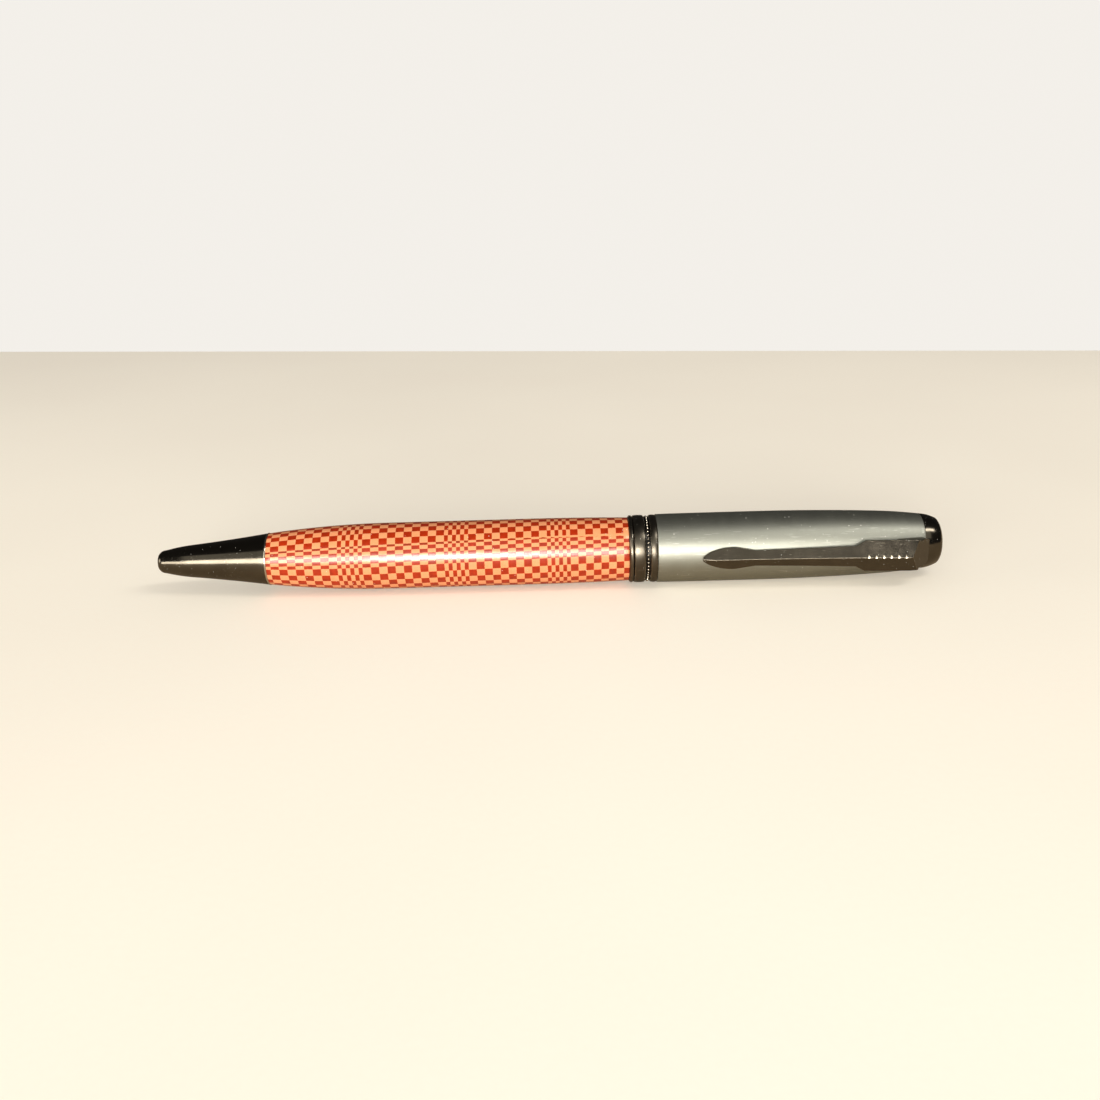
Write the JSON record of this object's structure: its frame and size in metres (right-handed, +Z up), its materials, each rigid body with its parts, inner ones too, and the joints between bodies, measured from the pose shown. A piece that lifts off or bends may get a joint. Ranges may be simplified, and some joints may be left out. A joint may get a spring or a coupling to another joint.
{
  "type": "twist-action ball pen",
  "caption": "Metal ballpoint with a checked lacquer barrel, satin upper half and dark plated trim; twisting the upper half feeds a sprung refill out of the nose cone.",
  "frame": {"origin": "middle of the footprint of the pen's bounding box, on the surface that it lies on", "axes": "+X along the pen from the nose to the domed end, +Z up, the clip points to -Y"},
  "size_m": [0.136, 0.0146, 0.012],
  "materials": {
    "gunmetal_plate": "polished dark gunmetal plating on brass",
    "bright_plate": "polished bright plating",
    "barrel_lacquer": "clear gloss over an orange-red and peach check",
    "satin_metal": "satin silver-grey metal",
    "band_black": "matt black inlay",
    "brass": "machined brass",
    "connector_brass": "machined brass",
    "spring_steel": "drawn spring wire",
    "point_steel": "turned nickel silver",
    "ball_carbide": "polished tungsten carbide",
    "refill_steel": "drawn steel tube",
    "screw_steel": "zinc-plated steel",
    "ink": "thick dark ink",
    "grease": "clear amber grease",
    "refill_plastic": "moulded plastic",
    "follower_plastic": "moulded acetal",
    "cam_plastic": "moulded acetal",
    "liner_plastic": "moulded plastic",
    "seal_rubber": "black rubber"
  },
  "bodies": {
    "lower_half": {"nose_cone": "gunmetal_plate", "nose_trim_ring": "bright_plate", "barrel_shell": "barrel_lacquer", "front_bush": "brass", "rear_bush": "brass", "refill_spring": "spring_steel"},
    "refill": {"refill_point": "point_steel", "refill_neck": "refill_steel", "refill_tube": "refill_steel", "ink_column": "ink", "ink_grease": "grease", "refill_plug": "refill_plastic"},
    "point_ball": {"writing_ball": "ball_carbide"},
    "twist_core": {"connector": "connector_brass", "coupling_ring": "gunmetal_plate", "friction_ring": "seal_rubber", "cam_circlip": "spring_steel"},
    "follower": {"feed_follower": "follower_plastic"},
    "upper_half": {"cam_sleeve": "cam_plastic", "cap_liner": "liner_plastic", "band_front": "gunmetal_plate", "band_inlay": "band_black", "band_rear": "gunmetal_plate", "cap_tube": "satin_metal", "top_bush": "brass", "clip_ring": "liner_plastic", "finial": "gunmetal_plate", "finial_screw": "screw_steel"},
    "clip": {"pocket_clip": "gunmetal_plate"}
  },
  "joints": [
    {"name": "barrel_thread", "type": "slide", "parent": "lower_half", "child": "twist_core", "axis": [1, 0, 0], "range_m": [0, 0.012]},
    {"name": "cap_twist", "type": "hinge", "parent": "twist_core", "child": "upper_half", "pos_m": [0.022, 0.00131, 0.00598], "axis": [-1, 0, 0], "range_deg": [0, 180]},
    {"name": "follower_feed", "type": "slide", "parent": "twist_core", "child": "follower", "axis": [-1, 0, 0], "range_m": [0, 0.0036]},
    {"name": "refill_feed", "type": "slide", "parent": "lower_half", "child": "refill", "axis": [-1, 0, 0], "range_m": [0, 0.0036], "deforming": ["refill_spring"]},
    {"name": "ball_roll", "type": "hinge", "parent": "refill", "child": "point_ball", "pos_m": [-0.0666, 0.00131, 0.00598], "axis": [0, 1, 0], "continuous": true},
    {"name": "clip_flex", "type": "hinge", "parent": "upper_half", "child": "clip", "pos_m": [0.0653, -0.00359, 0.00598], "axis": [0, 0, 1], "range_deg": [0, 3], "stiffness_Nm_per_rad": 5}
  ],
  "couplings": [
    {"joint": "follower_feed", "follows": "cap_twist", "m_per_rad": 0.0011459},
    {"joint": "refill_feed", "follows": "cap_twist", "m_per_rad": 0.0011459}
  ]
}
